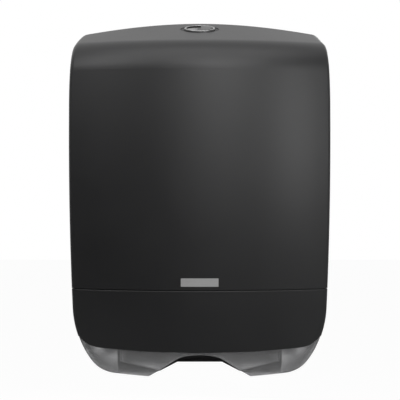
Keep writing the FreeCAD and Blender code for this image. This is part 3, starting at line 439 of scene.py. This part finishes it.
# %% All the finishes
FINE_GRAIN = 0.00002
COARSE_GRAIN = 0.00003
BRUSHED = 0.00001
FINISHES = {
    "cover_black": moulding("satin_black", (0.0075, 0.0075, 0.008), (0.0105, 0.0105, 0.011), 0.46, 0.08,
                            1500, FINE_GRAIN),
    "inner_black": moulding("inner_black", (0.008, 0.008, 0.0085), (0.013, 0.013, 0.0135), 0.6, 0.1,
                            1100, COARSE_GRAIN),
    "button_grey": moulding("button_black", (0.012, 0.012, 0.012), (0.018, 0.018, 0.018), 0.4, 0.08,
                            1500, FINE_GRAIN),
    "smoked_plastic": smoked("smoked_frosted", (0.4, 0.4, 0.405), 0.24),
    "plate_silver": metal("brushed_silver", (0.3, 0.3, 0.3), (0.37, 0.37, 0.37), 0.5, (1, 30, 30),
                          90, BRUSHED, shine=0.15),
    "lock_metal": metal("turned_metal", (0.3, 0.3, 0.3), (0.42, 0.42, 0.42), 0.35, (30, 1, 30), 120, BRUSHED),
    "fastener_steel": metal("zinc_plate", (0.5, 0.5, 0.52), (0.66, 0.66, 0.66), 0.35, (1, 1, 1), 500, BRUSHED),
    "strike_steel": metal("plated_sheet", (0.48, 0.48, 0.5), (0.62, 0.62, 0.62), 0.38, (1, 12, 12),
                          200, BRUSHED),
    "spring_steel": metal("spring_wire", (0.42, 0.42, 0.43), (0.58, 0.58, 0.58), 0.3, (1, 1, 1), 800, BRUSHED),
}
print("finishes:", len(FINISHES))

# %% [markdown]
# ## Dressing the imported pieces
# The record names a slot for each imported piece. Each piece could be dressed by hand, but one loop over the
# record can't leave one out.

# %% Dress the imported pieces
SLOTS = {part["node"]: part["material_slot"] for part in record["subparts"]}
for name, obj in frame["nodes"].items():
    finish = FINISHES[SLOTS[name]]
    if obj.data.materials:
        for i in range(len(obj.data.materials)):
            obj.data.materials[i] = finish
    else:
        obj.data.materials.append(finish)
print("dressed:", len(SLOTS))

# %% [markdown]
# ## Turned pieces
# Screws and rings come off a lathe, so each is a short profile spun about its own axis. The profile is a chain
# of (radius, height) points in millimetres, and closes on itself where the piece is a ring. A chain that
# ends on the axis leaves a pole there, which merging the doubles closes.

# %% Spin a profile
def turned(profile, ring, steps=48):
    """A bmesh spun about Z from a profile."""
    bm = bmesh.new()
    corners = [bm.verts.new((radius * MM, 0, height * MM)) for radius, height in profile]
    ends = corners[1:] + corners[:1] if ring else corners[1:]
    for start, end in zip(corners, ends):
        bm.edges.new((start, end))
    bmesh.ops.spin(bm, geom=bm.verts[:] + bm.edges[:], cent=(0, 0, 0), axis=(0, 0, 1), angle=math.tau,
                   steps=steps, use_merge=True)
    bmesh.ops.remove_doubles(bm, verts=bm.verts, dist=MM / 1000)
    bmesh.ops.recalc_face_normals(bm, faces=bm.faces)
    return bm


def softened(bm, sharp=35):
    """Shades a bmesh smooth except across its sharp edges."""
    for face in bm.faces:
        face.smooth = True
    for edge in bm.edges:
        edge.smooth = edge.calc_face_angle(0) < math.radians(sharp)
    return bm


# %% [markdown]
# ## The lock's place
# The button sits square to the sloping crown. Its push joint points straight into the crown, and the turning
# joint passes through the core at the side of the button, so the record gives the lock's place and tilt.

# %% Read the lock's place from the joints
JOINTS = {joint["name"]: joint for joint in record["behaviour"]["joints"]}
CORE_SIDE = 8.5
into_crown = Vector(JOINTS["button_push"]["axis"])
crown_slope = math.atan2(into_crown.y, -into_crown.z)
lock_middle = Vector(JOINTS["lock_turn"]["pos_m"]) + Vector((CORE_SIDE * MM, 0, 0))
lock_place = Matrix.Translation(lock_middle) @ Matrix.Rotation(crown_slope, 4, "X")
print("crown slope:", round(math.degrees(crown_slope), 2), "lock at:", [round(v, 4) for v in lock_middle])

# %% [markdown]
# ## The button's rim
# The brightest line on the case is the polished ring round the button. It is a thin pressed ring with rounded
# shoulders, closed over the edge of the button. A spun profile gives the shoulders that the light needs.

# %% Fit the rim
RIM_PROUD = 0.1
ROUND_STEPS = 96
POLISH = 0.000004
BUTTON_RADIUS = 18.2
RIM_WIDTH = 2.3
RIM_TOP = 1.6
rim_out = BUTTON_RADIUS + RIM_PROUD
rim_in = BUTTON_RADIUS - RIM_WIDTH
rim_profile = [
    (rim_in, 0),
    (rim_in, RIM_TOP - 0.45),
    (rim_in + 0.2, RIM_TOP - 0.12),
    (rim_in + 0.6, RIM_TOP),
    (rim_out - 0.8, RIM_TOP),
    (rim_out - 0.3, RIM_TOP - 0.12),
    (rim_out, RIM_TOP - 0.5),
    (rim_out, -0.6),
    (rim_out - 0.3, -0.6),
]
rim_ring = softened(turned(rim_profile, ring=True, steps=ROUND_STEPS))
bmesh.ops.transform(rim_ring, matrix=lock_place, verts=rim_ring.verts)
rim_finish = metal("polished_rim", (0.28, 0.28, 0.28), (0.34, 0.34, 0.34), 0.38, (1, 1, 1), 300, POLISH)
button_rim = mesh_object("button_rim", rim_ring, rim_finish)
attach(button_rim, "button")
print("rim radius:", rim_in, "to", rim_out)

# %% [markdown]
# ## The bead along the seam
# The lower cover's top edge is folded over, so a thin line of light runs under the dark seam. The bead follows
# the bow of the front: a small circle is laid at one end and spun about the axis of that bow. The
# radius at the seam comes from the bow from top to bottom.

# %% Run the bead
PLAN_RADIUS = 326
FRONT_BOW = 1600
APEX_Z = 40
SEAM_GAP = 1
BEAD_RADIUS = 0.75
BEAD_PROUD = 0.3
BEAD_HALF = 143
bow_axis_y = cad_box[0][1] / MM + PLAN_RADIUS
bead_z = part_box("main_cover")[0][2] / MM - SEAM_GAP - BEAD_RADIUS
drawn_in = FRONT_BOW - math.sqrt(FRONT_BOW ** 2 - (bead_z - APEX_Z) ** 2)
bead_reach = PLAN_RADIUS - drawn_in - BEAD_RADIUS + BEAD_PROUD
bead_turn = math.asin(BEAD_HALF / bead_reach)
bead = bmesh.new()
bmesh.ops.create_circle(bead, segments=12, radius=BEAD_RADIUS * MM)
bmesh.ops.rotate(bead, verts=bead.verts, cent=(0, 0, 0), matrix=Matrix.Rotation(math.pi / 2, 3, "Y"))
bmesh.ops.translate(bead, verts=bead.verts, vec=(0, -bead_reach * MM, 0))
bmesh.ops.rotate(bead, verts=bead.verts, cent=(0, 0, 0), matrix=Matrix.Rotation(-bead_turn, 3, "Z"))
bmesh.ops.spin(bead, geom=bead.verts[:] + bead.edges[:], cent=(0, 0, 0), axis=(0, 0, 1), angle=2 * bead_turn,
               steps=ROUND_STEPS)
bmesh.ops.holes_fill(bead, edges=[edge for edge in bead.edges if edge.is_boundary])
bmesh.ops.recalc_face_normals(bead, faces=bead.faces)
bmesh.ops.translate(bead, verts=bead.verts, vec=(0, bow_axis_y * MM, bead_z * MM))
seam_bead = mesh_object("seam_bead", softened(bead), FINISHES["cover_black"])
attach(seam_bead, "cover")
print("bead at height", round(bead_z, 1), "half turn", round(math.degrees(bead_turn), 1), "degrees")

# %% [markdown]
# ## Screws
# Thirteen pan-head screws hold the arms, the tray, the strike plate and the lock. Each is a turned blank with
# a cross recess. The recess is two crossed slots taken out of the head by a Boolean, which is applied to the
# mesh, so that nothing is left to compute later. All the screws of a set replace their plain CAD node.

# %% Turn a screw and cut its recess
RECESS_SPAN = 1.05
RECESS_WIDTH = 0.24
RECESS_FLOOR = 0.4
SCREW_STEPS = 24


def bar(length, width, height, top):
    """A box on the Z axis, below a height."""
    bm = bmesh.new()
    bmesh.ops.create_cube(bm, size=1)
    bmesh.ops.scale(bm, vec=(length * MM, width * MM, height * MM), verts=bm.verts)
    bmesh.ops.translate(bm, vec=(0, 0, (top - height / 2) * MM), verts=bm.verts)
    return bm


def carved(blank, cutter):
    """The mesh of a blank with a cutter taken out of it."""
    blank_obj = mesh_object("blank", blank, FINISHES["fastener_steel"])
    cutter_obj = mesh_object("cutter", cutter, FINISHES["fastener_steel"])
    cut = blank_obj.modifiers.new("recess", "BOOLEAN")
    cut.operation = "DIFFERENCE"
    cut.object = cutter_obj
    bpy.context.view_layer.update()
    mesh = bpy.data.meshes.new_from_object(blank_obj.evaluated_get(bpy.context.evaluated_depsgraph_get()))
    for obj in (blank_obj, cutter_obj):
        bpy.data.objects.remove(obj)
    return mesh


def screw(head, height, shank, length):
    """A pan-head screw with its seat at zero and its head upwards."""
    blank = turned([
        (0, height),
        (head * 0.5, height * 0.95),
        (head * 0.8, height * 0.75),
        (head * 0.95, height * 0.4),
        (head, height * 0.08),
        (head, 0),
        (shank, 0),
        (shank, 0.8 - length),
        (shank * 0.3, -length),
        (0, -length),
    ], ring=False, steps=SCREW_STEPS)
    top = height * (1 + RECESS_FLOOR)
    mesh = carved(blank, bar(head * RECESS_SPAN, head * RECESS_WIDTH, height, top))
    across = bmesh.new()
    across.from_mesh(mesh)
    return carved(across, bar(head * RECESS_WIDTH, head * RECESS_SPAN, height, top))


# %% [markdown]
# ## Seats for the screws
# A seat is a place and a turn: the head's underside lies at the place and the head faces along the turned
# Z axis. The arms and the tray are screwed from the inside, the strike plate from above, and the lock from
# below in its own tilted frame. Each screw is twisted a little further than the last, as a fitter leaves them.

# %% Set the screws in their seats
FIRST_TWIST = 25
NEXT_TWIST = 55


def screw_set(name, body, shape, seats):
    """One object for all the screws of a CAD node: each seat is a place and the turn of its head."""
    blank = screw(*shape)
    joined = bmesh.new()
    for i, seat in enumerate(seats):
        before = len(joined.verts)
        joined.from_mesh(blank)
        twist = Matrix.Rotation(math.radians(FIRST_TWIST + NEXT_TWIST * i), 4, "Z")
        bmesh.ops.transform(joined, matrix=seat @ twist, verts=joined.verts[:][before:])
    obj = mesh_object(name + "_turned", softened(joined), FINISHES["fastener_steel"])
    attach(obj, body)
    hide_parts(name)
    print(name, len(seats), "screws")


def inward(x, y, z):
    """Seat in a wall at the right or left whose screw head faces the middle."""
    side = 1 if x > 0 else -1
    return Matrix.Translation(Vector((x, y, z)) * MM) @ Matrix.Rotation(-side * math.pi / 2, 4, "Y")


# Head radius, head height and shank radius, in millimetres
HEAD_HEIGHT = 2
BIG_SCREW = (3.6, HEAD_HEIGHT, 1.6)
SMALL_SCREW = (2.5, HEAD_HEIGHT, 1.25)
SIDES = (1, -1)

# %% Screw the arms and the tray
ARM_SEAT_X = 133.7
ARM_SEAT_Y = -42
ARM_ROWS = (-128, -141)
ARM_SHANK = 6.8
TRAY_SEAT_X = 126
TRAY_ROWS = (-27.5, -60)
TRAY_SEAT_Z = -138.5
TRAY_SHANK = 4.5
arm_seats = [inward(side * ARM_SEAT_X, ARM_SEAT_Y, z) for side in SIDES for z in ARM_ROWS]
tray_seats = [inward(side * TRAY_SEAT_X, y, TRAY_SEAT_Z) for side in SIDES for y in TRAY_ROWS]
screw_set("arm_screws", "cover", (*BIG_SCREW, ARM_SHANK), arm_seats)
screw_set("tray_screws", "chassis", (*BIG_SCREW, TRAY_SHANK), tray_seats)

# %% Screw the strike plate and the lock
STRIKE_SEAT_X = 13.5
STRIKE_SEAT_Y = -17
STRIKE_SEAT_Z = 161.5
STRIKE_SHANK = 11.5
LOCK_RING = 26.2
LOCK_SEAT_Z = -7.5
LOCK_SHANK = 4.7
FIRST_LOCK_SCREW = 90
THIRD_TURN = 120
strike_seats = [Matrix.Translation(Vector((side * STRIKE_SEAT_X, STRIKE_SEAT_Y, STRIKE_SEAT_Z)) * MM)
                for side in SIDES]
head_down = Matrix.Translation((LOCK_RING * MM, 0, LOCK_SEAT_Z * MM)) @ Matrix.Rotation(math.pi, 4, "X")
lock_turns = [math.radians(FIRST_LOCK_SCREW + THIRD_TURN * i) for i in range(3)]
lock_seats = [lock_place @ Matrix.Rotation(turn, 4, "Z") @ head_down for turn in lock_turns]
screw_set("strike_screws", "chassis", (*SMALL_SCREW, STRIKE_SHANK), strike_seats)
screw_set("lock_screws", "cover", (*SMALL_SCREW, LOCK_SHANK), lock_seats)

# %% [markdown]
# ## Springs
# A wide spring under the button lifts it, and a small one holds the latch lever down. A spring is a wire circle
# spun several turns about its axis while it climbs. The CAD springs can't shorten, so these replace them. What
# share of its height each one's stroke would keep is worked out and printed, but nothing here flattens it. The
# small one's share is less than its closed turns need: the lifted lever leaves it too little room, and a real
# spring in that place would be wound from thinner wire.

# %% Wind a spring
SPRING_STEPS = 32
WIRE_SIDES = 10
WIRE_SHARP = 60


def spring(name, radius, wire, foot, top, turns, aside, keep):
    """A spring in the lock's frame, with the height of the end that stays and what its stroke keeps of it."""
    steps = turns * SPRING_STEPS
    bm = bmesh.new()
    bmesh.ops.create_circle(bm, segments=WIRE_SIDES, radius=wire / 2 * MM)
    bmesh.ops.rotate(bm, verts=bm.verts, cent=(0, 0, 0), matrix=Matrix.Rotation(math.pi / 2, 3, "X"))
    bmesh.ops.translate(bm, verts=bm.verts, vec=(radius * MM, 0, (foot + wire / 2) * MM))
    bmesh.ops.spin(bm, geom=bm.verts[:] + bm.edges[:], cent=(0, 0, 0), axis=(0, 0, 1), angle=turns * math.tau,
                   steps=steps, dvec=(0, 0, (top - foot - wire) * MM / steps))
    bmesh.ops.holes_fill(bm, edges=[edge for edge in bm.edges if edge.is_boundary])
    bmesh.ops.recalc_face_normals(bm, faces=bm.faces)
    bmesh.ops.translate(bm, verts=bm.verts, vec=(0, aside * MM, 0))
    bmesh.ops.transform(bm, matrix=lock_place, verts=bm.verts)
    obj = mesh_object(name + "_wound", softened(bm, WIRE_SHARP), FINISHES["spring_steel"])
    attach(obj, "cover")
    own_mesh(obj)
    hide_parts(name)
    print(name, turns, "turns, keeps", keep)


# %% Put the springs in the lock
# Heights below the crown, in the lock's own frame
BUTTON_FOOT = -5.2
BARREL_FLOOR = -20
BARREL_FOOT = -22
LEVER_SEAT = -27.1
STROKE = 4
BUTTON_COIL = 16.35
BUTTON_WIRE = 1.3
BUTTON_TURNS = 4
LATCH_COIL = 2.6
LATCH_WIRE = 0.7
LATCH_TURNS = 3
LATCH_ASIDE = 18.5
# Room left between the lifted lever and the barrel, on the small spring's axis
LIFTED_ROOM = 1.56
button_keep = 1 - STROKE / (BUTTON_FOOT - BARREL_FLOOR)
latch_keep = LIFTED_ROOM / (BARREL_FOOT - LEVER_SEAT)
spring("button_spring", BUTTON_COIL, BUTTON_WIRE, BARREL_FLOOR, BUTTON_FOOT, BUTTON_TURNS,
       0, button_keep)
spring("latch_spring", LATCH_COIL, LATCH_WIRE, LEVER_SEAT, BARREL_FOOT, LATCH_TURNS,
       LATCH_ASIDE, latch_keep)
